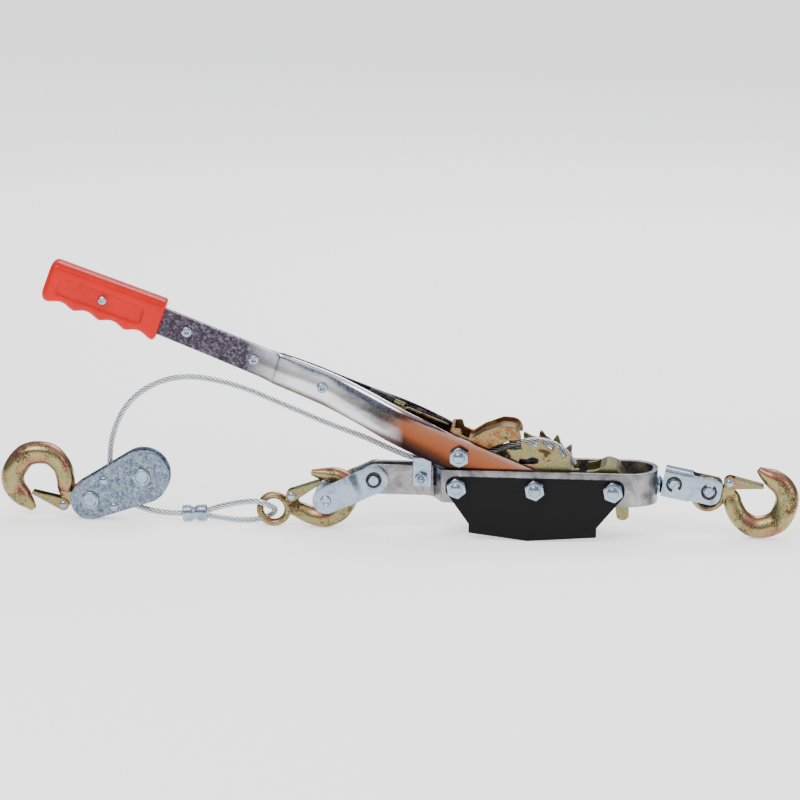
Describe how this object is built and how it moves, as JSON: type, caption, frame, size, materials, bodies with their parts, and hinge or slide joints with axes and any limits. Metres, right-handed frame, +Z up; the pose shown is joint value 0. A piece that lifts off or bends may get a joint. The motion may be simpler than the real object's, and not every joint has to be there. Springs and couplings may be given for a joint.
{
  "type": "come along winch",
  "caption": "Hand ratchet cable puller: strap frame with a geared drum, lever handle, wire rope on a pulley block, and latched slip hooks.",
  "frame": {"origin": "on the floor under the middle of the winch, cords left out", "axes": "+X along the winch to the swivel hook, +Y across it away from the nuts, +Z up"},
  "size_m": [0.7226, 0.0866, 0.24],
  "materials": {
    "satin_steel": "bright satin steel strap",
    "zinc": "blue-white zinc plate, satin",
    "yellow_zinc": "yellow chromated zinc with faint pink and green interference",
    "chrome": "bright chrome plate",
    "black_paint": "black enamel",
    "red_plastic": "moulded red plastic",
    "wire_rope": "galvanised wire rope",
    "black_spring": "black oxide wire and black sleeve"
  },
  "bodies": {
    "root": {"frame_strap": "satin_steel", "side_plate_near": "black_paint", "side_plate_far": "black_paint", "front_bolt": "zinc", "axle_bolt": "zinc", "rear_bolt": "zinc", "front_nut": "zinc", "axle_nut": "zinc", "rear_nut": "zinc", "cable_guide": "zinc", "guide_bolt": "zinc", "guide_nut": "zinc", "neck_pin": "zinc", "neck_ring": "black_spring", "end_hook": "yellow_zinc", "free_cable": "wire_rope", "cable_loop": "wire_rope", "ferrule": "zinc"},
    "front_link": {"front_link_near": "zinc", "front_link_far": "zinc", "link_pin": "zinc"},
    "drum": {"ratchet_wheel_near": "yellow_zinc", "ratchet_wheel_far": "yellow_zinc", "drum_core": "zinc", "wound_cable": "wire_rope"},
    "handle": {"handle_plate_near": "chrome", "handle_plate_far": "chrome", "grip": "red_plastic", "grip_screw": "zinc", "handle_rivet_1": "zinc", "handle_rivet_2": "zinc", "handle_rivet_3": "zinc", "pawl_bolt": "zinc", "pawl_nut": "zinc", "spring_wire": "black_spring", "spring_sleeve": "black_spring", "spring_coil": "yellow_zinc"},
    "drive_pawl": {"drive_pawl": "yellow_zinc", "pawl_cross_pin": "yellow_zinc"},
    "hold_pawl": {"hold_pawl": "yellow_zinc"},
    "swivel": {"swivel_stud": "zinc"},
    "rear_link": {"rear_link": "zinc", "front_clevis_pin": "zinc", "rear_clevis_pin": "zinc", "front_pin_clip": "black_spring", "rear_pin_clip": "black_spring"},
    "rear_hook": {"rear_hook": "yellow_zinc"},
    "rear_latch": {"rear_latch": "yellow_zinc"},
    "end_latch": {"end_latch": "yellow_zinc"},
    "block": {"block_plate_near": "zinc", "block_plate_far": "zinc", "keeper_rivet_1": "zinc", "keeper_rivet_2": "zinc", "sheave_axle": "zinc", "block_hook_pin": "zinc"},
    "sheave": {"sheave": "zinc"},
    "block_hook": {"block_hook": "yellow_zinc"},
    "block_latch": {"block_latch": "yellow_zinc"}
  },
  "joints": [
    {"name": "front_link_hinge", "type": "hinge", "parent": "root", "child": "front_link", "pos_m": [-0.02013, 0.0021, 0.048], "axis": [0, 1, 0], "range_deg": [0, 5]},
    {"name": "drum_spin", "type": "hinge", "parent": "root", "child": "drum", "pos_m": [0.12587, 0.0021, 0.048], "axis": [0, 1, 0], "continuous": true},
    {"name": "handle_swing", "type": "hinge", "parent": "root", "child": "handle", "pos_m": [0.12587, 0.0021, 0.048], "axis": [0, 1, 0], "range_deg": [0, 75]},
    {"name": "drive_pawl_lift", "type": "hinge", "parent": "handle", "child": "drive_pawl", "pos_m": [0.05737, 0.0021, 0.0745], "axis": [0, 1, 0], "range_deg": [-20, 0], "stiffness_Nm_per_rad": 0.4, "springref_deg": 20.05, "deforming": ["spring_coil"]},
    {"name": "hold_pawl_lift", "type": "hinge", "parent": "root", "child": "hold_pawl", "pos_m": [0.19587, 0.0021, 0.048], "axis": [0, 1, 0], "range_deg": [0, 12], "stiffness_Nm_per_rad": 0.6, "springref_deg": -20.05},
    {"name": "swivel_spin", "type": "hinge", "parent": "root", "child": "swivel", "pos_m": [0.23237, 0.0021, 0.048], "axis": [1, 0, 0], "continuous": true},
    {"name": "rear_link_hinge", "type": "hinge", "parent": "swivel", "child": "rear_link", "pos_m": [0.24967, 0.0021, 0.05], "axis": [0, 1, 0], "range_deg": [-15, 0]},
    {"name": "rear_hook_hinge", "type": "hinge", "parent": "rear_link", "child": "rear_hook", "pos_m": [0.28107, 0.0021, 0.0439], "axis": [0, 1, 0], "range_deg": [-45, 30]},
    {"name": "rear_latch_hinge", "type": "hinge", "parent": "rear_hook", "child": "rear_latch", "pos_m": [0.29958, 0.0021, 0.05155], "axis": [0, 1, 0], "range_deg": [0, 30], "stiffness_Nm_per_rad": 0.05, "springref_deg": -17.19},
    {"name": "end_latch_hinge", "type": "hinge", "parent": "root", "child": "end_latch", "pos_m": [-0.09507, 0.0021, 0.02924], "axis": [0, 1, 0], "range_deg": [0, 9], "stiffness_Nm_per_rad": 0.05, "springref_deg": -17.19},
    {"name": "block_swing", "type": "hinge", "parent": "root", "child": "block", "pos_m": [-0.23213, 0.0141, 0.0411], "axis": [0, 1, 0], "range_deg": [-5, 5]},
    {"name": "sheave_spin", "type": "hinge", "parent": "block", "child": "sheave", "pos_m": [-0.23213, 0.0141, 0.0411], "axis": [0, 1, 0], "continuous": true},
    {"name": "block_hook_hinge", "type": "hinge", "parent": "block", "child": "block_hook", "pos_m": [-0.27933, 0.0141, 0.0187], "axis": [0, 1, 0], "range_deg": [-30, 30]},
    {"name": "block_latch_hinge", "type": "hinge", "parent": "block_hook", "child": "block_latch", "pos_m": [-0.30437, 0.0141, 0.01294], "axis": [0, 1, 0], "range_deg": [0, 30], "stiffness_Nm_per_rad": 0.05, "springref_deg": -17.19}
  ]
}
